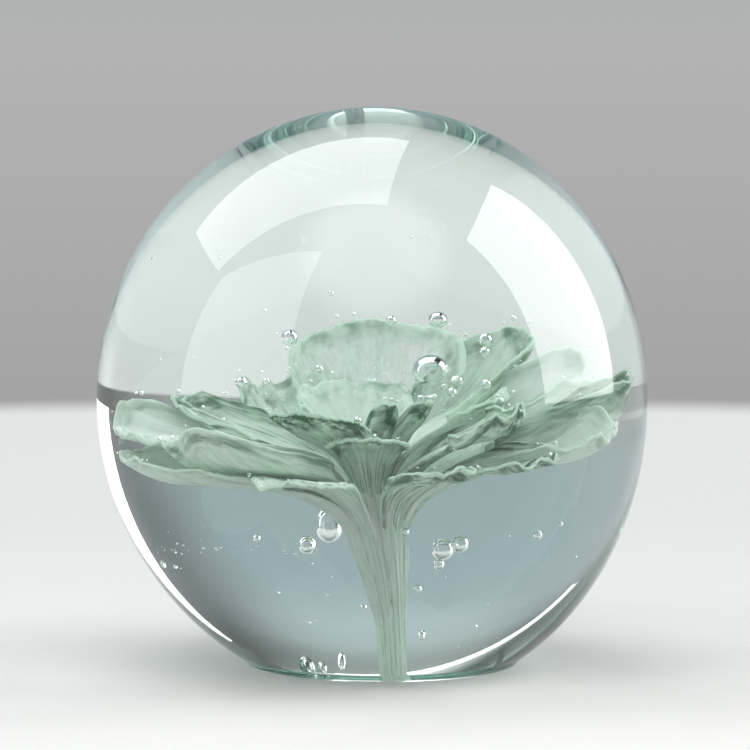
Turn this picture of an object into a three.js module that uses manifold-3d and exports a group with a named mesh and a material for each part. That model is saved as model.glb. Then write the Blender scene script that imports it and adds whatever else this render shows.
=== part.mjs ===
// A hand-made glass paperweight: a clear ball with a ground flat foot, and inside it a pale green
// trumpet flower of layered frit veils drawn down into one fluted stem.
// Millimetres, +Z up, +X to the right, +Y away from the front. The origin is on the plane of the
// foot, under the ball's widest section.
//
// The glass is two gathers, as the maker takes them from the furnace: the core gather that carries
// the colour and becomes the bulb under the flower, and the outer gather over everything, which
// makes the dome and the sides and runs down round the core to the foot.
import * as THREE from "three";
import { ParametricGeometry } from "three/addons/geometries/ParametricGeometry.js";
import { mergeVertices } from "three/addons/utils/BufferGeometryUtils.js";
import Module from "manifold-3d";

// ---- Driving dimensions ----
const ballRadius = 40; // at the widest section
const widestZ = 39; // height of the widest section over the foot
const domeRise = 42.3; // widest section to crown
const underDrop = 44; // depth of the lower half's full curve, which the foot cuts off
const footRadius = 17.2; // flat ground part
const footEase = 0.9; // the small rounding where the flat meets the side
const footLean = 1.5; // how far the foot stands to +X of the widest section
const crownLean = 0.5; // how far the crown stands to +X

const coreFootRadius = 12.5; // where the core gather meets the foot
const coreRadius = 30; // the core gather's widest, under the petals' tips
const coreTopZ = 28; // the core gather's upper face, under the lower petals
const coreDip = 4; // how far that face sinks towards the stem
const gatherGap = 0.3; // between the two gathers

const ballSides = 40;
const coreSides = 28;

const petalHalf = 0.42; // half the thickness of a petal at its middle
const petalBlunt = 0.35; // how far in from its ends a petal reaches that thickness
const petalGap = 0.34; // clear glass is cut back from a petal by this much
const petalSides = 12; // facets round a petal's section
const petalRows = 8; // facets from a petal's root to its rim

const stemSides = 24;
const stemFlutes = 8;
const stemFluteDepth = 0.07; // as a share of its radius
const stemTopZ = 33.4; // where it ends in the flower's throat

const clearColour = 0xd9e5e6;
const veilColour = 0xcfdedb;
const deepColour = 0x71917a;
const stemTone = 0.35;

const wasm = await Module();
wasm.setup();

// ---- Solids ----

// The way out at each vertex: its faces' normals, each weighted by the angle it has there.
function vertexNormals(position, index) {
  const normals = Array.from({ length: position.count }, () => new THREE.Vector3());
  for (let f = 0; f < index.count; f += 3) {
    const corners = [0, 1, 2].map((k) => index.getX(f + k));
    const points = corners.map((i) => new THREE.Vector3().fromBufferAttribute(position, i));
    const normal = new THREE.Triangle(...points).getNormal(new THREE.Vector3());
    corners.forEach((corner, k) => {
      const next = points[(k + 1) % 3].clone().sub(points[k]);
      const last = points[(k + 2) % 3].clone().sub(points[k]);
      normals[corner].addScaledVector(normal, next.angleTo(last));
    });
  }
  return normals.map((normal) => normal.normalize());
}

// A closed three.js geometry as a manifold-3d solid, its surface moved out by grow.
function solidOf(geometry, grow = 0) {
  const bare = geometry.clone();
  bare.deleteAttribute("normal");
  bare.deleteAttribute("uv");
  const merged = mergeVertices(bare, 1e-4);
  const position = merged.attributes.position;
  const index = merged.index;
  const point = new THREE.Vector3();
  const normals = grow ? vertexNormals(position, index) : [];
  normals.forEach((normal, i) => {
    point.fromBufferAttribute(position, i).addScaledVector(normal, grow);
    position.setXYZ(i, point.x, point.y, point.z);
  });
  return new wasm.Manifold(
    new wasm.Mesh({
      numProp: 3,
      vertProperties: position.array,
      triVerts: new Uint32Array(index.array),
    }),
  );
}

// A manifold-3d solid as a three.js geometry.
function geometryOf(solid) {
  const mesh = solid.getMesh();
  const geometry = new THREE.BufferGeometry();
  geometry.setAttribute("position", new THREE.BufferAttribute(mesh.vertProperties, 3));
  geometry.setIndex(new THREE.BufferAttribute(mesh.triVerts, 1));
  geometry.computeVertexNormals();
  return geometry;
}

// Only the largest body of a cut solid, because slivers of glass between petals are not pieces.
function largestBody(solid) {
  return solid.decompose().reduce((a, b) => (a.volume() > b.volume() ? a : b));
}

// ---- The ball's outline ----

// How far a section of the hand-made ball stands to +X, by its height.
function lean(z) {
  const below = Math.max(0, (widestZ - z) / widestZ);
  const above = Math.max(0, (z - widestZ) / domeRise);
  return footLean * below ** 2 + crownLean * above ** 2;
}

function leaned(geometry) {
  const position = geometry.attributes.position;
  for (let i = 0; i < position.count; i++) {
    position.setX(i, position.getX(i) + lean(position.getZ(i)));
  }
  return geometry;
}

// A LatheGeometry turns about Y; this stands it up on Z.
function lathe(points, sides) {
  const outline = points.map(([r, z]) => new THREE.Vector2(r, z));
  return new THREE.LatheGeometry(outline, sides).rotateX(Math.PI / 2);
}

function ballSolid() {
  const points = [
    [0, 0],
    [footRadius, 0],
  ];
  // The side starts where its curve is one easing above the foot.
  const start = Math.asin((footEase - widestZ) / underDrop);
  const steps = 9;
  for (let i = 0; i <= steps; i++) {
    const a = start * (1 - i / steps);
    points.push([ballRadius * Math.cos(a), widestZ + underDrop * Math.sin(a)]);
  }
  for (let i = 1; i < steps; i++) {
    const a = (Math.PI / 2) * (i / steps);
    points.push([ballRadius * Math.cos(a), widestZ + domeRise * Math.sin(a)]);
  }
  points.push([0, widestZ + domeRise]);
  return solidOf(leaned(lathe(points, ballSides)));
}

// The core gather is a bulb that stands on the foot, with a trumpet-shaped upper face that dips at
// the stem. Grown, it is the room that the outer gather leaves for it.
function coreSolid(grow) {
  const radius = coreRadius + grow;
  const footR = coreFootRadius + grow;
  const bottom = grow ? -1 : 0;
  const points = [
    [0, bottom],
    [footR, bottom],
  ];
  const steps = 8;
  const shoulder = coreTopZ - 4;
  for (let i = grow ? 0 : 1; i <= steps; i++) {
    const t = i / steps;
    points.push([footR + (radius - footR) * Math.sin((t * Math.PI) / 2), shoulder * t]);
  }
  points.push([radius - 1, coreTopZ - 1 + grow]);
  for (let i = 0; i <= steps; i++) {
    const r = (radius - 3) * (1 - i / steps);
    points.push([r, coreTopZ + grow - coreDip * Math.exp(-r / 4)]);
  }
  return solidOf(leaned(lathe(points, coreSides)));
}

// ---- The flower ----

// One veil of frit, drawn from the stem out to its rim. Angles are in degrees from +X, seen from
// above; the front of the ball is at 270.
//   tone    0 for a clear veil to 1 for deep green
//   at      the direction it lies in          root   [radius, height] where it leaves the stem
//   tip     [radius, height] near its rim     rise   how soon it levels out; higher is sooner
//   spread  half its angle at the rim         neck   half its angle at the root
//   round   how much shorter its corners are  curl   [height gained, radius lost] at its rim
//   cup     how much its sides turn up        swirl  how far its rim is carried round
//   ruffle  [height, waves, phase] of the wavy rim
const lowerRoot = [5.3, 30];
const upperRoot = [3.8, 31.9];
const innerRoot = [1.9, 33.2];
const petals = {
  upper_petal_back: {
    tone: 0.2, at: 83, root: upperRoot, tip: [15.6, 42.5], rise: 1.2, spread: 40, neck: 26,
    round: 0.26, curl: [2.4, 0], cup: 0, swirl: 0, ruffle: [0.3, 3, 0.3],
  },
  upper_petal_back_right: {
    tone: 0.45, at: 37, root: upperRoot, tip: [19.2, 41], rise: 1.3, spread: 17, neck: 17,
    round: 0.4, curl: [3, 0.6], cup: 0.4, swirl: 0, ruffle: [0.4, 2, 1.4],
  },
  upper_petal_right: {
    tone: 0.05, at: 14, root: upperRoot, tip: [22.2, 39], rise: 1.5, spread: 14, neck: 15,
    round: 0.34, curl: [4.4, 0.4], cup: 0.6, swirl: 0, ruffle: [0.5, 3, 0],
  },
  upper_petal_front_right: {
    tone: 0.7, at: 336, root: upperRoot, tip: [17.6, 36.2], rise: 1.8, spread: 13, neck: 16,
    round: 0.2, curl: [1.2, 0], cup: 0.6, swirl: 3, ruffle: [0.4, 3, 2],
  },
  upper_petal_front_lip: {
    tone: 0.6, at: 262, root: upperRoot, tip: [9.8, 36], rise: 1.8, spread: 36, neck: 28,
    round: 0.1, curl: [-0.4, 0], cup: 0, swirl: 0, ruffle: [0.22, 3, 0],
  },
  upper_petal_left_curl: {
    tone: 0.25, at: 203, root: upperRoot, tip: [26.4, 32], rise: 3, spread: 15, neck: 17,
    round: 0.34, curl: [4.6, 0.8], cup: 0.6, swirl: 3, ruffle: [0.3, 2, 0.8],
  },
  upper_petal_left_shell: {
    tone: 0.05, at: 168, root: upperRoot, tip: [25.6, 33], rise: 2.4, spread: 13, neck: 17,
    round: 0.34, curl: [4.8, 0.6], cup: 0.8, swirl: -3, ruffle: [0.4, 3, 0],
  },
  upper_petal_back_left: {
    tone: 0.35, at: 138, root: upperRoot, tip: [20.4, 36.3], rise: 1.7, spread: 17, neck: 16,
    round: 0.3, curl: [1.8, 0], cup: 0.6, swirl: 3, ruffle: [0.5, 3, 0.5],
  },
  lower_petal_left: {
    tone: 0.35, at: 183, root: lowerRoot, tip: [29.6, 29.3], rise: 3.2, spread: 24, neck: 20,
    round: 0.24, curl: [2.6, 0.3], cup: 1.2, swirl: -3, ruffle: [0.4, 2, 0.4],
  },
  lower_petal_front_left: {
    tone: 0.4, at: 233, root: lowerRoot, tip: [20, 30.4], rise: 3, spread: 25, neck: 20,
    round: 0.2, curl: [-0.4, 0], cup: 0.2, swirl: 3, ruffle: [0.4, 3, 0.2],
  },
  lower_petal_front_right: {
    tone: 0.6, at: 302, root: lowerRoot, tip: [19.4, 30.8], rise: 3, spread: 19, neck: 18,
    round: 0.24, curl: [0.4, 0], cup: 0.2, swirl: 2, ruffle: [0.5, 3, 1.2],
  },
  lower_petal_right_wing: {
    tone: 0.75, at: 324, root: lowerRoot, tip: [21.6, 33], rise: 2.4, spread: 13, neck: 14,
    round: 0.26, curl: [1, 0], cup: 1, swirl: 3, ruffle: [0.4, 2, 2],
  },
  lower_petal_right_fan: {
    tone: 0.2, at: 347, root: lowerRoot, tip: [26.6, 33.8], rise: 1.9, spread: 14, neck: 14,
    round: 0.24, curl: [3, 0], cup: 0.4, swirl: 2, ruffle: [0.7, 4, 2],
  },
  lower_petal_right_curl: {
    tone: 0.6, at: 9, root: lowerRoot, tip: [28.8, 35.4], rise: 1.5, spread: 12, neck: 14,
    round: 0.3, curl: [5, 0.8], cup: 0.4, swirl: 0, ruffle: [0.5, 2, 0],
  },
  lower_petal_back_right: {
    tone: 0.3, at: 46, root: lowerRoot, tip: [25, 36.4], rise: 1.5, spread: 24, neck: 18,
    round: 0.24, curl: [2, 0], cup: 0.6, swirl: 0, ruffle: [0.7, 3, 0.6],
  },
  lower_petal_back: {
    tone: 0.4, at: 102, root: lowerRoot, tip: [23.4, 37], rise: 1.5, spread: 24, neck: 18,
    round: 0.22, curl: [2, 0], cup: 0.4, swirl: 0, ruffle: [0.7, 3, 2.2],
  },
  lower_petal_back_left: {
    tone: 0.5, at: 143, root: lowerRoot, tip: [25.6, 34.4], rise: 1.8, spread: 20, neck: 18,
    round: 0.24, curl: [2, 0], cup: 0.6, swirl: 0, ruffle: [0.6, 3, 1.1],
  },
  inner_petal_back: {
    tone: 0.35, at: 106, root: innerRoot, tip: [9.6, 40.6], rise: 1.2, spread: 46, neck: 34,
    round: 0.16, curl: [0.6, 0], cup: 0, swirl: 0, ruffle: [0.25, 4, 0],
  },
  inner_petal_left: {
    tone: 0.8, at: 224, root: innerRoot, tip: [13.2, 37.2], rise: 1.5, spread: 30, neck: 28,
    round: 0.24, curl: [1, 0], cup: 0.5, swirl: -6, ruffle: [0.25, 2, 0.8],
  },
  inner_petal_right: {
    tone: 0.25, at: 17, root: innerRoot, tip: [13.6, 39.4], rise: 1.3, spread: 22, neck: 28,
    round: 0.26, curl: [0.8, 0], cup: 0.5, swirl: -5, ruffle: [0.3, 2, 0.2],
  },
  inner_fold_front: {
    tone: 1, at: 283, root: innerRoot, tip: [6.4, 38], rise: 1.3, spread: 20, neck: 22,
    round: 0.36, curl: [0.6, 0], cup: 0.5, swirl: 0, ruffle: [0.1, 2, 0],
  },
  inner_fold_right: {
    tone: 0.8, at: 324, root: innerRoot, tip: [8.4, 38.2], rise: 1.3, spread: 15, neck: 20,
    round: 0.36, curl: [0.7, 0], cup: 0.5, swirl: 0, ruffle: [0.1, 2, 0],
  },
};

// A point on a petal's middle surface: across runs from -1 to 1, along from 0 at its root to 1.
function petalPoint(petal, across, along, target) {
  const edge = Math.max(0, (along - 0.6) / 0.4) ** 2;
  const reach = 1 - petal.round * Math.abs(across) ** 2.4 * along;
  const radius =
    petal.root[0] + (petal.tip[0] - petal.root[0]) * along * reach - petal.curl[1] * edge;
  const half = petal.neck + (petal.spread - petal.neck) * along;
  const angle = THREE.MathUtils.degToRad(petal.at + half * across + petal.swirl * along * along);
  const levelled = 1 - Math.pow(Math.max(0, 1 - along * reach), petal.rise);
  const [height, waves, phase] = petal.ruffle;
  const z =
    petal.root[1] +
    (petal.tip[1] - petal.root[1]) * levelled +
    petal.curl[0] * edge * reach +
    petal.cup * across * across * along +
    height * along * along * Math.sin(waves * Math.PI * across + phase);
  return target.set(radius * Math.cos(angle), radius * Math.sin(angle), z);
}

// How far out each row of a petal lies: a blunt end, even rows, and a blunt rim.
function petalAlong(row, length) {
  if (row === 0) return 0;
  if (row === petalRows) return 1;
  const blunt = petalBlunt / length;
  return blunt + ((1 - 2 * blunt) * (row - 1)) / (petalRows - 2);
}

// The petal's closed solid. Its first and last rows have no thickness, which closes them.
function petalSolid(petal, grow) {
  const length = petal.tip[0] - petal.root[0];
  const here = new THREE.Vector3();
  const acrossStep = new THREE.Vector3();
  const alongStep = new THREE.Vector3();
  const d = 1e-3;
  const geometry = new ParametricGeometry(
    (around, out, target) => {
      const turn = 2 * Math.PI * around;
      const row = Math.round(out * petalRows);
      const isEnd = row === 0 || row === petalRows;
      const across = -Math.cos(turn);
      const along = petalAlong(row, length);
      petalPoint(petal, across, along, here);
      petalPoint(petal, across + d, along, acrossStep).sub(here);
      petalPoint(petal, across, along + d, alongStep).sub(here);
      const normal = acrossStep.cross(alongStep).normalize();
      target.copy(here).addScaledVector(normal, isEnd ? 0 : petalHalf * Math.sin(turn));
    },
    petalSides,
    petalRows,
  );
  return solidOf(outward(geometry), grow);
}

// The geometry with its faces turned round if they point inwards.
function outward(geometry) {
  if (solidOf(geometry).volume() > 0) return geometry;
  const index = geometry.index.array;
  for (let i = 0; i < index.length; i += 3) {
    [index[i + 1], index[i + 2]] = [index[i + 2], index[i + 1]];
  }
  return geometry;
}

// The stem's centre line and its girth, from the foot up into the trumpet.
const stemLine = new THREE.CatmullRomCurve3([
  new THREE.Vector3(3.1, 0, 0),
  new THREE.Vector3(2.6, 0, 9),
  new THREE.Vector3(2.05, 0, 15.5),
  new THREE.Vector3(1.4, 0, 20),
  new THREE.Vector3(0.7, 0, 24.3),
  new THREE.Vector3(0, 0, 28.5),
  new THREE.Vector3(-0.2, 0, 30.4),
  new THREE.Vector3(-0.2, 0, 32),
  new THREE.Vector3(-0.2, 0, stemTopZ),
]);
const stemGirth = [1.9, 1.5, 1.5, 2.2, 3, 4.4, 5.6, 3.9, 1.5];

// The stem is drawn frit in flutes. Its first and last rows are the centres of its two ends.
// Grown, it goes on down below the foot, so that the hole it leaves is open there.
function stemSolid(grow) {
  const rings = 15;
  const last = rings + 1;
  const centre = new THREE.Vector3();
  const girth = new THREE.SplineCurve(stemGirth.map((r, i) => new THREE.Vector2(i, r)));
  const geometry = new ParametricGeometry(
    (around, up, target) => {
      const row = Math.round(up * last);
      const t = Math.min(Math.max((row - 1) / (rings - 1), 0), 1);
      stemLine.getPoint(t, centre);
      const turn = 2 * Math.PI * around;
      const flute = 1 + stemFluteDepth * Math.cos(stemFlutes * turn + 2 * t);
      const radius = row === 0 || row === last ? 0 : girth.getPoint(t).y * flute;
      target.set(
        centre.x + radius * Math.cos(turn),
        centre.y + radius * Math.sin(turn),
        centre.z - (grow && row <= 1 ? 1 : 0),
      );
    },
    stemSides,
    last,
  );
  return solidOf(outward(geometry), grow);
}

// ---- Materials ----

function clearGlass() {
  return new THREE.MeshStandardMaterial({
    color: clearColour,
    roughness: 0.02,
    metalness: 0,
    transparent: true,
    opacity: 0.35,
  });
}

// Frit melted to a veil: the thin parts are nearly clear and the thick ones deep green.
function greenFrit(tone) {
  return new THREE.MeshStandardMaterial({
    color: new THREE.Color(veilColour).lerp(new THREE.Color(deepColour), tone),
    roughness: 0.35,
    metalness: 0,
  });
}

// ---- Assembly ----

const paperweight = new THREE.Group();

function place(name, solid, material) {
  const mesh = new THREE.Mesh(geometryOf(largestBody(solid)), material);
  mesh.name = name;
  paperweight.add(mesh);
}

// The stem comes first, and each petal is cut back from what is already there.
let taken = stemSolid(petalGap);
place("stem", stemSolid(0), greenFrit(stemTone));
for (const [name, petal] of Object.entries(petals)) {
  place(name, petalSolid(petal, 0).subtract(taken), greenFrit(petal.tone));
  taken = taken.add(petalSolid(petal, petalGap));
}

place("core_gather", coreSolid(0).subtract(taken), clearGlass());
place("outer_gather", ballSolid().subtract(coreSolid(gatherGap)).subtract(taken), clearGlass());

export default paperweight;
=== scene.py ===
"""A hand-made glass paperweight: a clear ball with a ground foot, and a pale green trumpet flower in it."""

import math

import bmesh
import bpy
import numpy as np
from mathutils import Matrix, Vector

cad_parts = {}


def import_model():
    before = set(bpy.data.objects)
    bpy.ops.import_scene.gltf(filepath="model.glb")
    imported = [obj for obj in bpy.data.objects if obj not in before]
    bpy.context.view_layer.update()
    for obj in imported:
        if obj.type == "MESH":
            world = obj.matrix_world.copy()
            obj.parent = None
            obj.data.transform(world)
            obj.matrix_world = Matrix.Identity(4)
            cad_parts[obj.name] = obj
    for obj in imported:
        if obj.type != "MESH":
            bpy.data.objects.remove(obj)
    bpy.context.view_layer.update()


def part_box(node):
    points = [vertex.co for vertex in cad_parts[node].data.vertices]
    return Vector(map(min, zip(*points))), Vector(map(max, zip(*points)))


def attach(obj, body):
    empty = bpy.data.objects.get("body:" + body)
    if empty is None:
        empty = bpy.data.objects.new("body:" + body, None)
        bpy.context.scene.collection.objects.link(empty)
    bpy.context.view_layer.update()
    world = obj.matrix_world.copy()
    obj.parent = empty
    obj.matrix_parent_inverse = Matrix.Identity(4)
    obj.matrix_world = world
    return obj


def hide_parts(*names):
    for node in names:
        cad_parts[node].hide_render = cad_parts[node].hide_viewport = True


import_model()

# ---- Driving dimensions ----
# Lengths below are in parts of the ball's radius, 40 of them, and one is a millimetre at full size.
BALL_RADIUS = 40
ball_low, ball_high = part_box("outer_gather")
MM = (ball_high[0] - ball_low[0]) / (2 * BALL_RADIUS)
BALL_HEIGHT = (ball_high[2] - ball_low[2]) / MM
WIDEST_Z = 39
DOME_RISE = BALL_HEIGHT - WIDEST_Z
UNDER_DROP = 44
FOOT_RADIUS = 17.2
FOOT_EASE = 0.9
FOOT_LEAN = 1.5
CROWN_LEAN = 0.5

FULL_TURN = 2 * math.pi
QUARTER_TURN = math.pi / 2


# ---- Mesh helpers ----

def mesh_piece(name, verts, faces, material, smooth=True, uv=None):
    """A new object from points in millimetres. uv gives each vertex its own pair."""
    mesh = bpy.data.meshes.new(name)
    verts = np.asarray(verts, dtype=np.float64) * MM
    mesh.from_pydata(verts.tolist(), [], faces)
    if uv is not None:
        layer = mesh.uv_layers.new(name="veil")
        corners = np.empty(len(mesh.loops), dtype=np.int32)
        mesh.loops.foreach_get("vertex_index", corners)
        layer.data.foreach_set("uv", np.asarray(uv, dtype=np.float32)[corners].ravel())
    mesh.update()
    for polygon in mesh.polygons:
        polygon.use_smooth = smooth
    mesh.materials.append(material)
    piece = bpy.data.objects.new(name, mesh)
    bpy.context.scene.collection.objects.link(piece)
    return piece


def grid_faces(rows, columns, wrap):
    """Quads between rows of points. wrap joins the last column to the first."""
    faces = []
    last = columns if wrap else columns - 1
    for i in range(rows - 1):
        for j in range(last):
            k = (j + 1) % columns
            faces.append((i * columns + j, i * columns + k, (i + 1) * columns + k, (i + 1) * columns + j))
    return faces


def waves(x, seed, longest, octaves):
    """A smooth irregular wave of x, about -1 to 1, whose longest period is given."""
    shorter = 1.9
    weaker = 0.6
    fullness = 1.4
    rng = np.random.default_rng(seed)
    total = np.zeros_like(x, dtype=np.float64)
    size = 1.0
    norm = 0.0
    for octave in range(octaves):
        period = longest / shorter**octave * rng.uniform(0.85, 1.15)
        total = total + size * np.sin(FULL_TURN * x / period + rng.uniform(0, FULL_TURN))
        norm += size
        size *= weaker
    return total / norm * fullness


def fix_normals(piece):
    """Merges points that coincide, and turns a closed piece's faces outwards."""
    coincide = 1e-7
    made = bmesh.new()
    made.from_mesh(piece.data)
    bmesh.ops.remove_doubles(made, verts=made.verts, dist=coincide)
    bmesh.ops.recalc_face_normals(made, faces=made.faces)
    made.to_mesh(piece.data)
    made.free()


# ---- The clear ball ----

def lean(z):
    """How far a section of the ball stands to +X, by its height."""
    below = np.maximum(0, (WIDEST_Z - z) / WIDEST_Z)
    above = np.maximum(0, (z - WIDEST_Z) / DOME_RISE)
    return FOOT_LEAN * below**2 + CROWN_LEAN * above**2


def ball_outline(rings=6, steps=84):
    """(radius, height) pairs from the middle of the foot to the crown: the flat, its ease, the side."""
    start = math.asin((FOOT_EASE - WIDEST_Z) / UNDER_DROP)
    reach = BALL_RADIUS * math.cos(start) - FOOT_RADIUS
    outline = [(FOOT_RADIUS * i / rings, 0) for i in range(1, rings + 1)]
    for i in range(1, rings):
        turn = QUARTER_TURN * i / rings
        outline.append((FOOT_RADIUS + reach * math.sin(turn), FOOT_EASE * (1 - math.cos(turn))))
    for i in range(steps):
        a = start + (QUARTER_TURN - start) * i / steps
        drop = UNDER_DROP if a < 0 else DOME_RISE
        outline.append((BALL_RADIUS * math.cos(a), WIDEST_Z + drop * math.sin(a)))
    return outline


def unevenness(turn, z):
    """The slight lobes that hand work leaves round the ball, none of them near its foot."""
    clear_of_foot = np.clip((z - 3) / 12, 0, 1)
    lobes = 0.05 * np.sin(3 * turn + 0.06 * z + 1) + 0.035 * np.sin(5 * turn - 0.11 * z)
    return lobes * clear_of_foot / BALL_RADIUS


def ball_surface(columns=200):
    """The outside of the ball, closed by a fan at the foot and one at the crown."""
    outline = np.array(ball_outline())
    turn = FULL_TURN * np.arange(columns) / columns
    z = np.repeat(outline[:, 1][:, None], columns, axis=1)
    r = outline[:, 0][:, None] * (1 + unevenness(turn, z))
    points = np.stack([r * np.cos(turn) + lean(z), r * np.sin(turn), z], axis=-1).reshape(-1, 3)
    rows = len(outline)
    faces = grid_faces(rows, columns, wrap=True)
    middle = len(points)
    crown = middle + 1
    points = np.vstack([points, [[FOOT_LEAN, 0, 0], [CROWN_LEAN, 0, BALL_HEIGHT]]])
    for j in range(columns):
        k = (j + 1) % columns
        faces.append((middle, k, j))
        faces.append((crown, (rows - 1) * columns + j, (rows - 1) * columns + k))
    return points, faces


# The bubbles that can be told one from another: where they are, their size, and how drawn out.
BUBBLES = [
    # x, y, z, radius, height over width
    (5.4, 8, 41, 1.75, 0.9),
    (7.8, 6.5, 40.2, 0.6, 1),
    (6.6, 7, 39.6, 0.35, 1),
    (-8, 1, 45.2, 0.85, 1),
    (1.8, 9.5, 45.6, 0.5, 1),
    (5.9, 10, 45.6, 0.85, 0.9),
    (10.1, 9, 43.9, 0.65, 1),
    (9.9, 10, 42.6, 0.5, 1),
    (8, -2, 39.9, 0.5, 1),
    (11.2, 0, 40.6, 0.5, 1),
    (-5.2, -1, 42.2, 0.45, 1),
    (-11.6, 9, 39.8, 0.55, 1),
    (-9.5, 8, 40, 0.35, 1),
    (-17, -8, 32, 0.75, 1),
    (-1.5, -12, 37.6, 0.45, 1),
    (-3.6, 10, 26.2, 1.25, 1.35),
    (-5.6, 8, 24.2, 0.8, 1.05),
    (-10, 8, 24.9, 0.35, 1),
    (6.6, 4, 23.4, 1.15, 1),
    (8.4, 2, 23.8, 0.95, 1),
    (6.5, 1, 21.6, 0.6, 1),
    (16.6, 0, 24.2, 0.55, 1),
    (18.3, 3, 25.4, 0.25, 1),
    (4.7, -3, 18.6, 0.5, 1),
    (-0.7, -3, 16.7, 0.35, 1),
    (5.3, -2, 13.3, 0.4, 1.6),
    (3.4, -4, 25, 0.4, 1),
    (-7.6, -9, 6.2, 1, 2.2),
    (-5.6, -8, 6.6, 0.6, 2.4),
    (-2.8, -2, 10, 0.45, 3),
    (-22.8, -1, 20.2, 0.5, 1),
    (-20.4, 0, 20.6, 0.3, 1),
    (-15, 2, 53.4, 0.22, 1),
    (4, 0, 56, 0.2, 1),
    (-4, 0, 50, 0.3, 1),
    (-24.4, 0, 55, 0.2, 1),
]


def seed_bubbles(count=150):
    """Fine seed: a third along a line left of the stem, a third low in the ball, a third over the flower."""
    rng = np.random.default_rng(11)
    seam_z = 23.4
    flower_z = 38
    furthest = 24
    seeds = []
    for i in range(count):
        size = rng.uniform(0.05, 0.13)
        if i % 3 == 0:
            x = rng.uniform(-22, -5)
            y = rng.uniform(-3, 3)
            z = seam_z + rng.normal(0, 0.25) + 0.03 * x
        else:
            low_down = i % 3 == 1
            turn = rng.uniform(0, FULL_TURN)
            r = rng.uniform(4 if low_down else 2, furthest)
            x = r * math.cos(turn)
            y = r * math.sin(turn)
            z = rng.uniform(12, 27) if low_down else flower_z + 0.2 * r * math.sin(turn) + rng.uniform(0, 5)
        seeds.append((x, y, z, size, 1))
    return seeds


def rim_bubbles(count=200):
    """Tiny bubbles caught just above and outside the petals' rims."""
    rng = np.random.default_rng(5)
    shapes = list(PETALS.values())
    caught = []
    for i in range(count):
        number = int(rng.integers(len(shapes)))
        a = rng.uniform(-0.9, 0.9)
        spot = petal_sheet(shapes[number], np.array([[a]]), np.array([[1.0]]), number)[0, 0]
        size = 0.07 + 0.18 * rng.random() ** 2
        out = 1 + (0.3 + size) / math.hypot(spot[0], spot[1])
        caught.append((spot[0] * out, spot[1] * out, spot[2] + 0.35 + size, size, 1))
    return caught


def bubble_surface(x, y, z, radius, tall):
    """The wall of a bubble, facing the air inside it."""
    rows = max(5, int(5 + 9 * radius))
    columns = 2 * rows
    points = []
    for i in range(1, rows):
        a = math.pi * i / rows
        for j in range(columns):
            b = FULL_TURN * j / columns
            points.append((x + radius * math.sin(a) * math.cos(b),
                           y + radius * math.sin(a) * math.sin(b),
                           z - radius * tall * math.cos(a)))
    faces = [face[::-1] for face in grid_faces(rows - 1, columns, wrap=True)]
    low = len(points)
    high = low + 1
    points.append((x, y, z - radius * tall))
    points.append((x, y, z + radius * tall))
    for j in range(columns):
        k = (j + 1) % columns
        faces.append((low, j, k))
        faces.append((high, (rows - 2) * columns + k, (rows - 2) * columns + j))
    return points, faces


def clear_ball():
    """All the clear glass as one seamless body, with its bubbles as voids."""
    points, faces = ball_surface()
    points = points.tolist()
    for bubble in BUBBLES + seed_bubbles() + rim_bubbles():
        wall, wall_faces = bubble_surface(*bubble)
        base = len(points)
        points.extend(wall)
        faces.extend(tuple(base + i for i in face) for face in wall_faces)
    ball = mesh_piece("clear_glass", points, faces, glass_material())
    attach(ball, "root")
    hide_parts("core_gather", "outer_gather")


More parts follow.
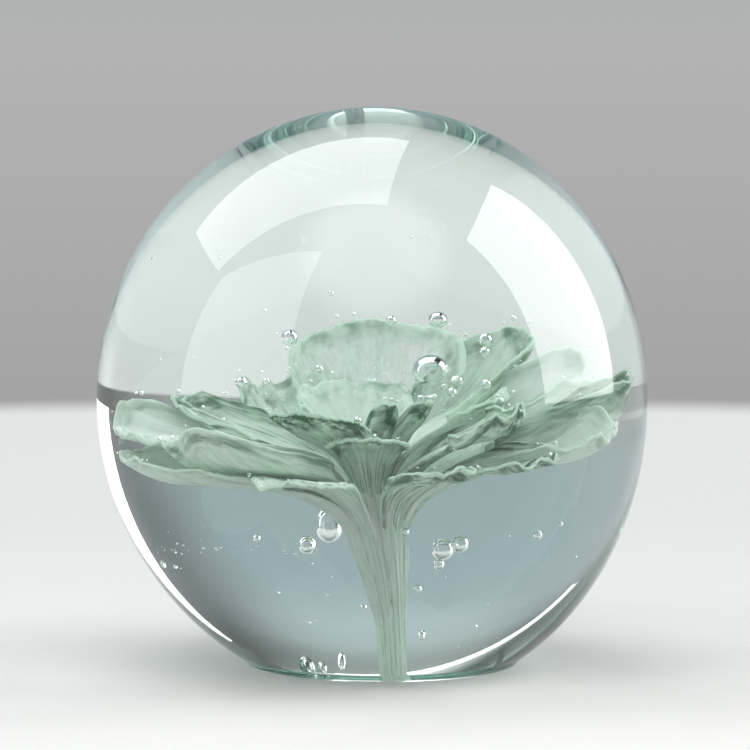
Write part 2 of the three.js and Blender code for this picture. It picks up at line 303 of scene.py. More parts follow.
# ---- The petals ----
# Each petal: angles in degrees from +X, lengths in millimetres. Its side at -1 lies at the lesser
# angle and its side at +1 at the greater.
#   at      the direction it lies in           low    height where it leaves the stem's side
#   root    [radius, height] where it bends    tip    [radius, height] near its rim
#   rise    how soon it levels out             spread, neck   half its angle at the rim and root
#   round   how much shorter its corners are   curl   [height, inward turn, start] of its rim
#   sides   height gained by its two sides     late   how late the sides gain it, 0.8 unless given
#   ruffle  [height, waves, phase] of the rim  frill  height of the fine frill at the rim
#   pleat   [depth, width] of the long folds   swirl  how far its rim is carried round
#   tone    -1 whitish, 0 pale, 1 deep green   veil   how much shows through it
#   scallop depth of the notches in its rim
LOWER = [5.3, 30]
UPPER = [3.8, 32]
INNER = [2.2, 33.6]
PETALS = {
    "upper_petal_back": dict(
        at=85, root=UPPER, low=22, tip=[14.6, 42.2], rise=1.2, spread=55, neck=34,
        round=0.2, curl=[2.6, 0, 0.5], sides=[-0.8, -1], swirl=0, ruffle=[0.2, 3, 0.3],
        frill=0.05, pleat=[0.1, 5], tone=0, veil=0.75, scallop=0.02),
    "upper_petal_back_right": dict(
        at=44, root=UPPER, low=22, tip=[18.8, 41.8], rise=1.3, spread=30, neck=24,
        round=0.34, curl=[2.6, 0.9, 0.66], sides=[0.1, 0.2], swirl=0, ruffle=[0.2, 3, 1.4],
        frill=0.05, pleat=[0.15, 4], tone=0.45, veil=0.45, scallop=0.02),
    "upper_petal_right": dict(
        at=9, root=UPPER, low=22, tip=[22, 39.8], rise=1.4, spread=23, neck=18,
        round=0.46, curl=[1.6, 0.6, 0.6], sides=[-0.8, 20], late=2.6, swirl=0, ruffle=[0.3, 3, 0],
        frill=0.08, pleat=[0.35, 1.8], tone=-1, veil=0.5, scallop=0.05),
    "upper_petal_front_right": dict(
        at=332, root=UPPER, low=22, tip=[18.4, 36.6], rise=1.8, spread=17, neck=20,
        round=0.18, curl=[1.8, 1, 0.8], sides=[-1.6, 2.2], swirl=3, ruffle=[0.3, 4, 2],
        frill=0.3, pleat=[0.35, 1.7], tone=0.95, veil=0, scallop=0.06),
    "upper_petal_front_lip": dict(
        at=268, root=UPPER, low=21, tip=[9.8, 35.9], rise=1.8, spread=36, neck=32,
        round=0.14, curl=[-0.7, 0, 0.6], sides=[-0.5, -0.3], swirl=0, ruffle=[0.2, 3, 0],
        frill=0.1, pleat=[0.2, 1.8], tone=0.8, veil=0, scallop=0.05),
    "upper_petal_left_curl": dict(
        at=205, root=[3.8, 31.6], low=21.5, tip=[26.4, 31.8], rise=2.2, spread=19, neck=36,
        round=0.46, curl=[2.8, 0.8, 0.7], sides=[1.5, 19], late=5, swirl=0, ruffle=[0.1, 2, 0.8],
        frill=0.05, pleat=[0.3, 2.4], tone=0.45, veil=0, scallop=0),
    "upper_petal_left_shell": dict(
        at=176, root=[3.4, 34.3], low=21.5, tip=[27.2, 34.6], rise=2.2, spread=22, neck=34,
        round=0.56, curl=[0.6, 0.6, 0.75], sides=[24, -4], late=3.2, swirl=0, ruffle=[0.1, 3, 0],
        frill=0.08, pleat=[0.4, 1.6], tone=-1, veil=0, scallop=0.04),
    "upper_petal_back_left": dict(
        at=152, root=UPPER, low=22, tip=[19.6, 37.2], rise=1.6, spread=26, neck=24,
        round=0.34, curl=[1.2, 0, 0.7], sides=[1.4, -1.6], swirl=3, ruffle=[0.2, 3, 0.5],
        frill=0.08, pleat=[0.25, 2.8], tone=0.75, veil=0.1, scallop=0.03),
    "lower_petal_left": dict(
        at=192, root=LOWER, low=17, tip=[28.6, 30.3], rise=3.2, spread=24, neck=32,
        round=0.3, curl=[1.9, 0.3, 0.66], sides=[4.4, -1.5], swirl=-2, ruffle=[0.1, 2, 0.4],
        frill=0.03, pleat=[0.3, 3.2], tone=-0.1, veil=0, scallop=0.01),
    "lower_petal_front_left": dict(
        at=236, root=LOWER, low=17, tip=[19.8, 30.3], rise=3, spread=25, neck=24,
        round=0.2, curl=[-0.4, 0, 0.8], sides=[0.8, 0.2], swirl=3, ruffle=[0.4, 2, 0.2],
        frill=0.18, pleat=[0.25, 2.4], tone=0.4, veil=0, scallop=0.03),
    "lower_petal_front_right": dict(
        at=302, root=LOWER, low=17, tip=[18.6, 30.7], rise=3, spread=20, neck=22,
        round=0.3, curl=[1.2, 0.5, 0.74], sides=[-0.4, 1], swirl=2, ruffle=[0.25, 3, 1.2],
        frill=0.08, pleat=[0.2, 2.4], tone=1, veil=0, scallop=0.01),
    "lower_petal_right_wing": dict(
        at=334, root=[5.3, 31], low=17, tip=[21.6, 32], rise=2.4, spread=20, neck=20,
        round=0.24, curl=[0.6, 0, 0.75], sides=[-1.2, 4.4], swirl=2, ruffle=[0.25, 3, 2],
        frill=0.04, pleat=[0.4, 1.9], tone=1, veil=0, scallop=0.02),
    "lower_petal_right_fan": dict(
        at=355, root=[5.3, 31], low=17, tip=[27.2, 33.2], rise=2.1, spread=19, neck=16,
        round=0.34, curl=[1.8, 0.6, 0.7], sides=[-1.2, 12], late=1.9, swirl=0, ruffle=[0.4, 6, 2],
        frill=0.08, pleat=[0.55, 2.2], tone=-1, veil=0.1, scallop=0.05),
    "lower_petal_right_curl": dict(
        at=18, root=LOWER, low=17, tip=[27.4, 35], rise=1.6, spread=15, neck=16,
        round=0.3, curl=[5.6, 1.6, 0.7], sides=[-0.6, 1.6], swirl=0, ruffle=[0.15, 2, 0],
        frill=0.05, pleat=[0.2, 2.4], tone=0.75, veil=0.75, scallop=0.02),
    "lower_petal_back_right": dict(
        at=46, root=LOWER, low=17, tip=[25, 36.2], rise=1.5, spread=26, neck=22,
        round=0.24, curl=[2, 0, 0.7], sides=[0.5, 0.5], swirl=0, ruffle=[0.7, 3, 0.6],
        frill=0.3, pleat=[0.3, 2.4], tone=0.2, veil=0.25, scallop=0.1),
    "lower_petal_back": dict(
        at=102, root=LOWER, low=17, tip=[23.4, 37], rise=1.5, spread=27, neck=24,
        round=0.2, curl=[2, 0, 0.7], sides=[0.4, 0.4], swirl=0, ruffle=[0.7, 3, 2.2],
        frill=0.3, pleat=[0.3, 2.4], tone=0.4, veil=0.1, scallop=0.1),
    "lower_petal_back_left": dict(
        at=150, root=LOWER, low=17, tip=[24, 34.6], rise=1.8, spread=22, neck=22,
        round=0.24, curl=[1.6, 0, 0.7], sides=[0.4, 0.4], swirl=0, ruffle=[0.3, 3, 1.1],
        frill=0.1, pleat=[0.3, 2.6], tone=0.6, veil=0, scallop=0.06),
    "inner_petal_back": dict(
        at=104, root=INNER, low=30, tip=[9.6, 39.4], rise=1.2, spread=54, neck=38,
        round=0.16, curl=[0.5, 0, 0.6], sides=[0, 0], swirl=0, ruffle=[0.15, 4, 0],
        frill=0.08, pleat=[0.2, 2], tone=0, veil=0.2, scallop=0.08),
    "inner_petal_left": dict(
        at=232, root=INNER, low=30, tip=[13, 37.2], rise=1.4, spread=44, neck=36,
        round=0.3, curl=[1, 0.3, 0.6], sides=[-0.7, 0.2], swirl=-4, ruffle=[0.2, 3, 0.8],
        frill=0.05, pleat=[0.15, 3], tone=1, veil=0, scallop=0.02),
    "inner_petal_right": dict(
        at=17, root=INNER, low=30, tip=[13.6, 38.6], rise=1.3, spread=26, neck=30,
        round=0.2, curl=[0.8, 0, 0.7], sides=[0.3, 0.3], swirl=-5, ruffle=[0.3, 2, 0.2],
        frill=0.15, pleat=[0.25, 1.6], tone=0.2, veil=0.05, scallop=0.2),
    "inner_fold_front": dict(
        at=288, root=INNER, low=30, tip=[6.4, 38.2], rise=1.3, spread=26, neck=26,
        round=0.5, curl=[0.8, 0.6, 0.6], sides=[0.9, 0.9], swirl=0, ruffle=[0.1, 2, 0],
        frill=0.03, pleat=[0.15, 1.4], tone=1, veil=0, scallop=0.02),
    "inner_fold_right": dict(
        at=322, root=INNER, low=30, tip=[8.2, 38.4], rise=1.3, spread=20, neck=22,
        round=0.5, curl=[0.9, 0.6, 0.6], sides=[0.9, 0.9], swirl=0, ruffle=[0.1, 2, 0],
        frill=0.03, pleat=[0.15, 1.4], tone=0.9, veil=0, scallop=0.02),
}

# How far the stem's centre stands to +X, and its radius, each with the height where it is so.
STEM_LINE = [(3.1, 0), (2.6, 9), (2.05, 15.5), (1.4, 20), (0.7, 24.3), (0, 28.5), (-0.2, 32)]
STEM_GIRTH = [(1.3, 0), (1.25, 2), (1.25, 9), (1.42, 15.5), (2.05, 20), (2.8, 24.3), (3.1, 28.5),
              (1.9, 31), (0.6, 33)]
STEM_TOP = 33


def at_height(table, z):
    """The value between a table's (value, height) pairs."""
    heights = [height for value, height in table]
    values = [value for value, height in table]
    return np.interp(z, heights, values)


def petal_profile(petal, t):
    """(radius, height) out along a petal's middle, a curve from the stem's side to its rim."""
    root_r, root_z = petal["root"]
    tip_r, tip_z = petal["tip"]
    start = (1.1, petal["low"])
    beside = (2.1, root_z - 3)
    bend = (2.2 + 0.15 * root_r, root_z + 0.6)
    half_r = root_r + (tip_r - root_r) * 0.4
    half_z = root_z + (tip_z - root_z) * (1 - 0.6 ** petal["rise"])
    corners = [start, beside, bend, (half_r, half_z), (tip_r, tip_z)]
    shares = [(1 - t) ** 4, 4 * (1 - t) ** 3 * t, 6 * (1 - t) ** 2 * t**2, 4 * (1 - t) * t**3, t**4]
    r = sum(share * corner[0] for share, corner in zip(shares, corners))
    z = sum(share * corner[1] for share, corner in zip(shares, corners))
    return r, z


def petal_reach(petal, a, wide, seed):
    """How much of its length a petal has at a place across it: less at the corners and notches."""
    notch_width = 2.6
    notch = np.abs(np.sin(math.pi * wide * a / notch_width + 1.5 * np.sin(3 * a + seed)))
    return 1 - petal["round"] * np.abs(a) ** 3 - 0.05 * (petal["scallop"] * notch)


def petal_folds(petal, a, t, wide, outward, edge, seed):
    """Height added by the long pleats, the frill at the rim and the fine cords."""
    depth, width = petal["pleat"]
    pleats = depth * (0.25 + 0.75 * outward) * waves(a * wide, seed, width * 2.2, 3)
    frill = petal["frill"] * edge * waves(a * wide + 0.6 * t, seed + 50, 2.6, 3)
    cords = 0.06 * waves(a * wide, seed + 90, 0.9, 2) * np.clip(outward * 6, 0, 1)
    return (pleats + frill + cords) * np.clip(outward * 5, 0, 1)


def petal_sheet(petal, a, t, seed):
    """Points on a petal's middle surface. a runs from -1 to 1 across, t from 0 to 1 outwards."""
    root_r = petal["root"][0]
    tip_r = petal["tip"][0]
    wide = math.radians(petal["spread"]) * tip_r
    reach = petal_reach(petal, a, wide, seed)
    r, z = petal_profile(petal, t * reach)
    outward = np.clip((r - root_r) / (tip_r - root_r), 0, 1)
    rim_r = petal_profile(petal, reach)[0]
    near_rim = np.clip((r - root_r) / (rim_r - root_r), 0, 1)
    gain, turned_in, start = petal["curl"]
    edge = np.clip((near_rim - start) / (1 - start), 0, 1) ** 1.5
    half = petal["neck"] + (petal["spread"] - petal["neck"]) * outward**0.8
    turn = np.radians(petal["at"] + half * a + petal["swirl"] * outward**2)
    z = z + gain * edge * reach
    low_side, high_side = petal["sides"]
    z = z + np.where(a < 0, low_side, high_side) * a**2 * outward ** petal.get("late", 0.8)
    height, count, phase = petal["ruffle"]
    z = z + height * outward**2 * np.sin(count * math.pi * a + phase)
    z = z + petal_folds(petal, a, t, wide, outward, edge, seed)
    ribs = 0.1 * waves(a * 6, seed + 20, 1.7, 2) * np.clip(t * 8, 0, 1) * (1 - outward)
    r = r - turned_in * edge**2 + ribs
    return np.stack([r * np.cos(turn) + at_height(STEM_LINE, z), r * np.sin(turn), z], axis=-1)


def petal_grid(petal, wide):
    """Places across and out along a petal, closer together at its sides and its rim."""
    fine = np.linspace(0, 1, 400)
    profile = np.stack(petal_profile(petal, fine), axis=-1)
    run = np.concatenate([[0], np.cumsum(np.linalg.norm(np.diff(profile, axis=0), axis=1))])
    length = run[-1]
    columns = int(np.clip(wide / 0.26, 40, 110))
    rows = int(np.clip(length / 0.42, 40, 76))
    across = -np.cos(math.pi * np.arange(columns + 1) / columns)
    across = 0.55 * across + 0.45 * np.linspace(-1, 1, columns + 1)
    out = np.interp(length * (1 - (1 - np.arange(rows + 1) / rows) ** 1.3), run, fine)
    return np.meshgrid(across, out)


def petal_thickness(from_edge, along):
    """Half a petal's thickness: a fat bead inside its edge, thicker glass at its root."""
    bead = 0.09 * np.exp(-((from_edge - 0.35) / 0.4) ** 2)
    root = 0.25 * np.exp(-along / 3)
    rounding = np.sqrt(np.clip(from_edge / 0.3, 0, 1))
    return (0.16 + bead + root) * rounding


def petal_ends(rows, columns, around):
    """Strips between the top and the bottom, which close the root and the rim."""
    strips = []
    for base, turned in ((0, True), (rows * around, False)):
        for j in range(columns):
            one = base + j
            two = base + j + 1
            three = base + (around - j - 1) % around
            four = base + (around - j) % around
            strip = tuple(dict.fromkeys((one, two, three, four)))
            strips.append(strip[::-1] if turned else strip)
    return strips


def petal_piece(name, petal, seed):
    """A closed thin shell with a thick rounded rim."""
    wide = 2 * math.radians(petal["spread"]) * petal["tip"][0]
    a, t = petal_grid(petal, wide)
    rows = a.shape[0] - 1
    columns = a.shape[1] - 1
    middle = petal_sheet(petal, a, t, seed)
    normal = np.cross(np.gradient(middle, axis=1), np.gradient(middle, axis=0))
    normal = normal / np.maximum(np.linalg.norm(normal, axis=-1, keepdims=True), 1e-9)
    along = np.cumsum(np.linalg.norm(np.diff(middle, axis=0), axis=-1), axis=0)
    along = np.concatenate([np.zeros((1, columns + 1)), along])
    from_side = (1 - np.abs(a)) * wide / 2
    from_rim = along[-1] - along
    thick = petal_thickness(np.minimum(from_side, from_rim), along)[..., None]
    top = middle + normal * thick
    bottom = middle - normal * thick
    loop = np.concatenate([top, bottom[:, -2:0:-1]], axis=1)
    uv_top = np.stack([a * wide / 20, -from_rim / 10], axis=-1)
    uv = np.concatenate([uv_top, uv_top[:, -2:0:-1]], axis=1).reshape(-1, 2)
    around = loop.shape[1]
    faces = grid_faces(rows + 1, around, wrap=True) + petal_ends(rows, columns, around)
    material = frit_material(name, petal["tone"], petal["veil"], seed, rim=True)
    piece = mesh_piece(name + "_veil", loop.reshape(-1, 3), faces, material, uv=uv)
    fix_normals(piece)
    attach(piece, "root")
    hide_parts(name)


# ---- The stem ----

def stem_piece(rows=150, columns=240):
    """The drawn stem: main flutes with fine cords between them, twisting slowly."""
    heights = np.linspace(0, STEM_TOP, rows)
    smoothing = 9
    girth = np.pad(at_height(STEM_GIRTH, heights), smoothing // 2, mode="edge")
    girth = np.convolve(girth, np.ones(smoothing) / smoothing, mode="valid")
    turn = FULL_TURN * np.arange(columns) / columns
    z = heights[:, None]
    twist = turn[None, :] + 0.012 * z
    ribs = 0.06 * np.cos(8 * twist) + 0.035 * np.cos(19 * twist + 1) + 0.022 * np.cos(41 * twist)
    r = girth[:, None] * (1 + ribs)
    x = at_height(STEM_LINE, z) + r * np.cos(turn)
    y = r * np.sin(turn)
    points = np.stack([x, y, np.repeat(z, columns, axis=1)], axis=-1).reshape(-1, 3)
    uv = np.stack([np.repeat(turn[None, :] * 0.4, rows, axis=0),
                   np.repeat(z / 10, columns, axis=1)], axis=-1).reshape(-1, 2)
    faces = grid_faces(rows, columns, wrap=True)
    faces.append(tuple(range(columns))[::-1])
    top = (rows - 1) * columns
    faces.append(tuple(range(top, top + columns)))
    material = frit_material("drawn_stem", 0.15, 0, 40, lines=0.5)
    piece = mesh_piece("drawn_stem", points, faces, material, uv=uv)
    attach(piece, "root")
    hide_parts("stem")


# ---- Material helpers ----

def new_material(name):
    """An empty node tree and its output."""
    material = bpy.data.materials.new(name)
    material.use_nodes = True
    tree = material.node_tree
    tree.nodes.clear()
    return material, tree, tree.nodes.new("ShaderNodeOutputMaterial")


def mixed(a, b, share):
    """A plain colour between two others."""
    return tuple(x + (y - x) * share for x, y in zip(a, b))


def mix_colours(tree, share, first, second):
    """Blends two colours. Each is a plain colour or a socket."""
    blend = tree.nodes.new("ShaderNodeMix")
    blend.data_type = "RGBA"
    tree.links.new(share, blend.inputs["Factor"])
    for socket, colour in ((blend.inputs[6], first), (blend.inputs[7], second)):
        if isinstance(colour, tuple):
            socket.default_value = (*colour, 1)
        else:
            tree.links.new(colour, socket)
    return blend.outputs[2]


def mix_shaders(tree, share, first, second):
    """Blends two shaders. The share is a number or a socket."""
    blend = tree.nodes.new("ShaderNodeMixShader")
    if isinstance(share, float):
        blend.inputs[0].default_value = share
    else:
        tree.links.new(share, blend.inputs[0])
    tree.links.new(first, blend.inputs[1])
    tree.links.new(second, blend.inputs[2])
    return blend.outputs[0]


def product(tree, first, second, clamp=False):
    """One value times another."""
    times = tree.nodes.new("ShaderNodeMath")
    times.operation = "MULTIPLY"
    times.use_clamp = clamp
    tree.links.new(first, times.inputs[0])
    tree.links.new(second, times.inputs[1])
    return times.outputs[0]


def ramp_between(tree, value, low, high, start=0, end=1):
    """Goes smoothly from start to end as the value goes from low to high."""
    rise = tree.nodes.new("ShaderNodeMapRange")
    rise.interpolation_type = "SMOOTHSTEP"
    rise.inputs["From Min"].default_value = low
    rise.inputs["From Max"].default_value = high
    rise.inputs["To Min"].default_value = start
    rise.inputs["To Max"].default_value = end
    tree.links.new(value, rise.inputs["Value"])
    return rise.outputs[0]


def stripes(tree, coordinates, scale, low, high):
    """Noise drawn out along the veil, squeezed between low and high."""
    mapping = tree.nodes.new("ShaderNodeMapping")
    mapping.inputs["Scale"].default_value = scale
    noise = tree.nodes.new("ShaderNodeTexNoise")
    noise.inputs["Scale"].default_value = 1
    noise.inputs["Detail"].default_value = 3
    noise.inputs["Roughness"].default_value = 0.6
    spread = tree.nodes.new("ShaderNodeMapRange")
    spread.inputs["From Min"].default_value = 0.3
    spread.inputs["From Max"].default_value = 0.7
    spread.inputs["To Min"].default_value = low
    spread.inputs["To Max"].default_value = high
    spread.clamp = True
    tree.links.new(coordinates, mapping.inputs["Vector"])
    tree.links.new(mapping.outputs[0], noise.inputs["Vector"])
    tree.links.new(noise.outputs["Fac"], spread.inputs["Value"])
    return spread.outputs["Result"]


# ---- Glass ----

def glass_material():
    """Clear soda glass with the faint blue-green of its own thickness."""
    material, tree, output = new_material("clear_glass")
    glass = tree.nodes.new("ShaderNodeBsdfPrincipled")
    glass.inputs["Base Color"].default_value = (1, 1, 1, 1)
    glass.inputs["Roughness"].default_value = 0
    glass.inputs["IOR"].default_value = 1.5
    glass.inputs["Transmission Weight"].default_value = 1
    tint = tree.nodes.new("ShaderNodeVolumeAbsorption")
    tint.inputs["Color"].default_value = (0.45, 0.69, 0.62, 1)
    tint.inputs["Density"].default_value = 5
    tree.links.new(glass.outputs[0], output.inputs["Surface"])
    tree.links.new(tint.outputs[0], output.inputs["Volume"])
    return material


# ---- Frit ----

WHITE = (0.925, 0.99, 0.945)
PALE = (0.885, 0.985, 0.915)
MID = (0.70, 0.90, 0.755)
DEEP = (0.03, 0.11, 0.055)
GLOW_SHARE = 0.3  # how much of the light a veil passes on to its other side


def veil_coordinates(tree, seed):
    """The veil's own coordinates shifted by the seed, and the distance in from its rim, below 0."""
    uv = tree.nodes.new("ShaderNodeUVMap")
    uv.uv_map = "veil"
    shift = tree.nodes.new("ShaderNodeVectorMath")
    shift.operation = "ADD"
    shift.inputs[1].default_value = (seed * 3.7, seed * 1.3, seed)
    split = tree.nodes.new("ShaderNodeSeparateXYZ")
    tree.links.new(uv.outputs[0], shift.inputs[0])
    tree.links.new(uv.outputs[0], split.inputs[0])
    return shift.outputs[0], split.outputs["Y"]


def drawn_colour(tree, place, inwards, tone, veil, rim, lines):
    """Pale and darker green drawn out into fine lines, with whitish streaks over them."""
    strong = max(0, tone)
    fine = stripes(tree, place, (36, 0.35, 1), -1 * lines, 0.8 + 0.7 * strong - 0.6 * veil)
    broad = stripes(tree, place, (7, 0.4, 1), -0.5 + 0.5 * strong, 0.8 + 0.4 * strong)
    white = stripes(tree, place, (9, 3, 3), -0.7, 1)
    pale = mixed(WHITE, PALE, 0.6 + tone * 0.6)
    darker = mixed(PALE, MID, 0.5 + 0.4 * strong)
    body = mix_colours(tree, broad, pale, darker)
    if rim:
        away_from_rim = ramp_between(tree, inwards, 0.1, -0.9)
        fine = product(tree, fine, away_from_rim, clamp=True)
    body = mix_colours(tree, fine, body, mixed(MID, DEEP, 0.35 + 0.5 * strong))
    return mix_colours(tree, white, body, WHITE)


def rim_band_and_painted_highlight(tree, place, inwards, colour, tone):
    """Adds the mottled deep green band inside a petal's rim, and a painted highlight: the pale line on the
    rim itself.
    """
    strong = max(0, tone)
    band = ramp_between(tree, inwards, -0.36 - 0.2 * strong, -0.1)
    patches = stripes(tree, place, (5, 7, 1), -0.5, 0.8 + 1.1 * strong)
    amount = product(tree, band, patches, clamp=True)
    colour = mix_colours(tree, amount, colour, mixed(MID, DEEP, 0.45 + 0.35 * strong))
    # Painted highlight: a pale line along the very edge of the rim.
    line = ramp_between(tree, inwards, -0.035, -0.012)
    return mix_colours(tree, line, colour, mixed(PALE, MID, 0.45 + 0.4 * strong))


def frit_shader(tree, colour):
    """A dull surface that lets some light glow through."""
    body = tree.nodes.new("ShaderNodeBsdfPrincipled")
    body.inputs["Roughness"].default_value = 0.55
    body.inputs["Specular IOR Level"].default_value = 0
    glow = tree.nodes.new("ShaderNodeBsdfTranslucent")
    tree.links.new(colour, body.inputs["Base Color"])
    tree.links.new(colour, glow.inputs["Color"])
    return mix_shaders(tree, GLOW_SHARE, body.outputs[0], glow.outputs[0])


def thinned(tree, place, inwards, surface, veil, rim):
    """Opens a thin veil so that what is behind it shows, except in the bead at its rim."""
    clear = tree.nodes.new("ShaderNodeBsdfTransparent")
    open_share = stripes(tree, place, (4, 2, 1), veil * 1.3, veil * 0.5)
    if rim:
        inside_bead = ramp_between(tree, inwards, -0.03, -0.22)
        open_share = product(tree, open_share, inside_bead)
    return mix_shaders(tree, open_share, surface, clear.outputs[0])


def frit_material(name, tone, veil, seed, rim=False, lines=1):
    """Melted frit: fine lines along the veil, deep green where it is thick, clear where it is thin."""
    material, tree, output = new_material(name)
    place, inwards = veil_coordinates(tree, seed)
    colour = drawn_colour(tree, place, inwards, tone, veil, rim, lines)
    if rim:
        colour = rim_band_and_painted_highlight(tree, place, inwards, colour, tone)
    surface = frit_shader(tree, colour)
    if veil > 0:
        surface = thinned(tree, place, inwards, surface, veil, rim)
    tree.links.new(surface, output.inputs["Surface"])
    return material


# ---- Floor ----

FLOOR_REACH = 460
FLOOR_FADE = (0.405, 0.455)  # metres out from the middle
# The floor's colour at the back, darkened as painted shade.
FAR_STONE_PAINTED_SHADE = (0.48, 0.48, 0.475)


def floor_material():
    """Pale honed stone, with painted shade that makes it greyer towards the back, fading out at its far
    edge.
    """
    material, tree, output = new_material("pale_floor")
    place = tree.nodes.new("ShaderNodeTexCoord")
    noise = tree.nodes.new("ShaderNodeTexNoise")
    noise.inputs["Scale"].default_value = 9
    noise.inputs["Detail"].default_value = 5
    noise.inputs["Distortion"].default_value = 1.2
    tone = tree.nodes.new("ShaderNodeValToRGB")
    tone.color_ramp.elements[0].position = 0.3
    tone.color_ramp.elements[0].color = (0.575, 0.57, 0.56, 1)
    tone.color_ramp.elements[1].position = 0.6
    tone.color_ramp.elements[1].color = (0.63, 0.625, 0.615, 1)
    split = tree.nodes.new("ShaderNodeSeparateXYZ")
    away = tree.nodes.new("ShaderNodeVectorMath")
    away.operation = "LENGTH"
    for target in (split.inputs[0], noise.inputs["Vector"], away.inputs[0]):
        tree.links.new(place.outputs["Object"], target)
    tree.links.new(noise.outputs["Fac"], tone.inputs[0])
    # Painted shade: the stone is mixed towards a greyer colour behind the ball, standing in for less light
    # falling there.
    behind = ramp_between(tree, split.outputs["Y"], -0.12, 0.22)
    stone = tree.nodes.new("ShaderNodeBsdfPrincipled")
    stone.inputs["Roughness"].default_value = 0.5
    stone.inputs["Specular IOR Level"].default_value = 0.2
    tree.links.new(mix_colours(tree, behind, tone.outputs[0], FAR_STONE_PAINTED_SHADE), stone.inputs["Base Color"])
    clear = tree.nodes.new("ShaderNodeBsdfTransparent")
    fade = ramp_between(tree, away.outputs["Value"], *FLOOR_FADE)
    tree.links.new(mix_shaders(tree, fade, stone.outputs[0], clear.outputs[0]), output.inputs["Surface"])
    return material


def floor(sides=128):
    """A round pale table top, its surface just under the foot."""
    just_under = -0.05
    turns = [FULL_TURN * i / sides for i in range(sides)]
    points = [(FLOOR_REACH * math.cos(turn), FLOOR_REACH * math.sin(turn), just_under) for turn in turns]
    piece = mesh_piece("floor", points, [tuple(range(sides))], floor_material(), smooth=False)


# ---- Room ----

ROOM_LOWEST = -0.1  # the sine where the room's colours begin
# The room's light by height, as (sine of the elevation, colour).
ROOM = [
    (-0.09, (0.366, 0.366, 0.366)),
    (-0.01, (0.45, 0.45, 0.45)),
    (0.08, (0.35, 0.42, 0.44)),
    (0.30, (0.37, 0.45, 0.485)),
    (0.50, (0.43, 0.505, 0.53)),
    (0.60, (0.37, 0.44, 0.46)),
    (0.68, (0.20, 0.26, 0.27)),
    (0.76, (0.08, 0.11, 0.11)),
    (1.00, (0.08, 0.10, 0.10)),
]


def room_colour(tree, height):
    """The room's colour by height: a lit grey wall, blue-grey above it, dark overhead."""
    share = tree.nodes.new("ShaderNodeMapRange")
    share.inputs["From Min"].default_value = ROOM_LOWEST
    ramp = tree.nodes.new("ShaderNodeValToRGB")
    marks = ramp.color_ramp.elements
    while len(marks) < len(ROOM):
        marks.new(0.5)
    for mark, (sine, colour) in zip(marks, ROOM):
        mark.position = (sine - ROOM_LOWEST) / (1 - ROOM_LOWEST)
        mark.color = (*colour, 1)
    tree.links.new(height, share.inputs["Value"])
    tree.links.new(share.outputs[0], ramp.inputs[0])
    return ramp.outputs[0]


def room_strength(tree, direction):
    """The room is dimmer high up to the right, and nearly dark on the side that the camera stands on."""
    aside = tree.nodes.new("ShaderNodeMath")
    aside.operation = "MULTIPLY_ADD"
    aside.inputs[1].default_value = 0.6
    tree.links.new(direction.outputs["Z"], aside.inputs[0])
    tree.links.new(direction.outputs["X"], aside.inputs[2])
    right = ramp_between(tree, aside.outputs[0], 0.45, 0.95, 1, 0.3)
    front = ramp_between(tree, direction.outputs["Y"], -0.2, -0.75, 1, 0.1)
    return product(tree, right, front)


def overhead_light(tree, place):
    """A soft warm light overhead, a little in front of the object."""
    forward = 0.5
    towards = tree.nodes.new("ShaderNodeVectorMath")
    towards.operation = "DOT_PRODUCT"
    towards.inputs[1].default_value = (0, -math.sin(forward), math.cos(forward))
    tree.links.new(place, towards.inputs[0])
    bright = tree.nodes.new("ShaderNodeBackground")
    bright.inputs["Color"].default_value = (1, 0.98, 0.96, 1)
    strength = ramp_between(tree, towards.outputs["Value"], 0.84, 0.97, 0, 2.6)
    tree.links.new(strength, bright.inputs["Strength"])
    return bright.outputs[0]


def world():
    """A plain grey room with one soft light overhead."""
    made = bpy.data.worlds.new("room")
    bpy.context.scene.world = made
    made.use_nodes = True
    tree = made.node_tree
    place = tree.nodes.new("ShaderNodeTexCoord").outputs["Generated"]
    direction = tree.nodes.new("ShaderNodeSeparateXYZ")
    tree.links.new(place, direction.inputs[0])
    background = tree.nodes["Background"]
    tree.links.new(room_colour(tree, direction.outputs["Z"]), background.inputs["Color"])
    tree.links.new(room_strength(tree, direction), background.inputs["Strength"])
    total = tree.nodes.new("ShaderNodeAddShader")
    tree.links.new(background.outputs[0], total.inputs[0])
    tree.links.new(overhead_light(tree, place), total.inputs[1])
    tree.links.new(total.outputs[0], tree.nodes["World Output"].inputs["Surface"])


# ---- Lights and camera ----

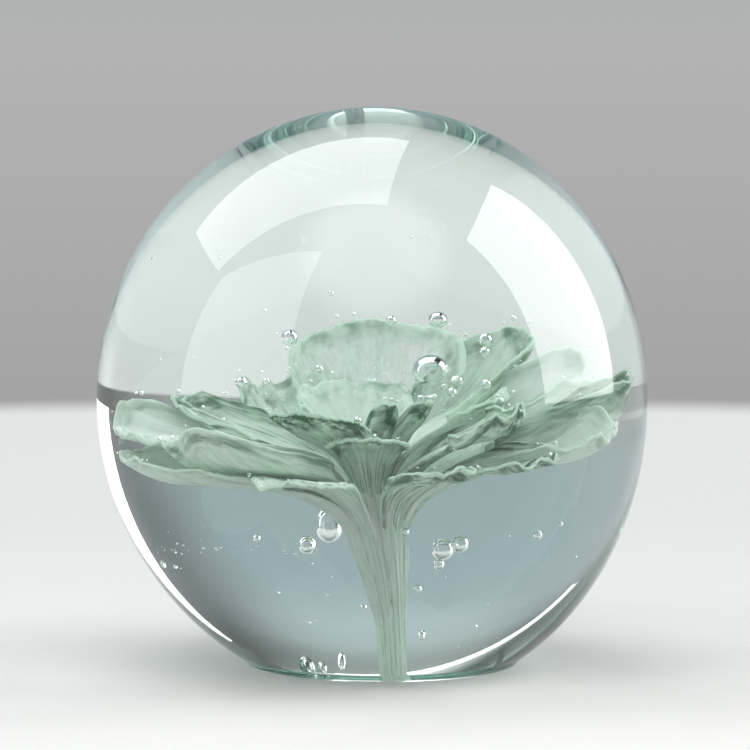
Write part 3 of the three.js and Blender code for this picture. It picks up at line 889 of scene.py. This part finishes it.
def softbox(name, centre, aim, width, height, radiance):
    """A rectangular lamp turned by the angles in aim, with an even face of that radiance."""
    lamp = bpy.data.lights.new(name, "AREA")
    lamp.shape = "RECTANGLE"
    lamp.size = width
    lamp.size_y = height
    lamp.energy = radiance * math.pi * width * height
    holder = bpy.data.objects.new(name, lamp)
    holder.location = centre
    holder.rotation_euler = aim
    holder.visible_camera = False
    bpy.context.scene.collection.objects.link(holder)


def lights():
    """A leaning window to the right, a ceiling light to the left, and a pale panel in front to the left."""
    far = 1.4
    leaning = 0.31
    softbox("window", (0.83 * far, 0.13 * far, 0.53 * far), (0, QUARTER_TURN - leaning, 0),
            1.11 * far, 0.8 * far, 5)
    softbox("ceiling", (-0.57 * far, 0.32 * far, far), (0, 0, -0.1), 1.38 * far, 0.82 * far, 2.9)
    turned = math.atan2(-0.6, 1.53)
    softbox("panel", (-1.34, -0.52, 0.84), (QUARTER_TURN, 0, turned), 1.65, 1.52, 2.1)


def camera():
    """The view from the front: a long lens well back, a little above the crown."""
    distance = 650 * MM
    raised = math.radians(5)
    tilted_up = math.radians(0.295)
    turned_right = math.radians(0.0385)
    sensor = 36
    data = bpy.data.cameras.new("camera")
    data.sensor_width = sensor
    data.lens = sensor * 5.96
    data.clip_start = 0.05
    holder = bpy.data.objects.new("camera", data)
    holder.location = (0, -distance * math.cos(raised), WIDEST_Z * MM + distance * math.sin(raised))
    holder.rotation_euler = (QUARTER_TURN - raised + tilted_up, 0, -turned_right)
    bpy.context.scene.collection.objects.link(holder)
    bpy.context.scene.camera = holder


def light_paths():
    """Colours as they are, and enough bounces for light to pass through the glass and its bubbles."""
    view = bpy.context.scene.view_settings
    view.view_transform = "Standard"
    view.look = "None"
    cycles = bpy.context.scene.cycles
    cycles.use_denoising = True
    cycles.max_bounces = 40
    cycles.glossy_bounces = 32
    cycles.transmission_bounces = 32
    cycles.transparent_max_bounces = 24


# ---- Assembly ----

camera()
floor()
world()
lights()
light_paths()
clear_ball()
stem_piece()
for number, (petal_name, shape) in enumerate(PETALS.items()):
    petal_piece(petal_name, shape, number)
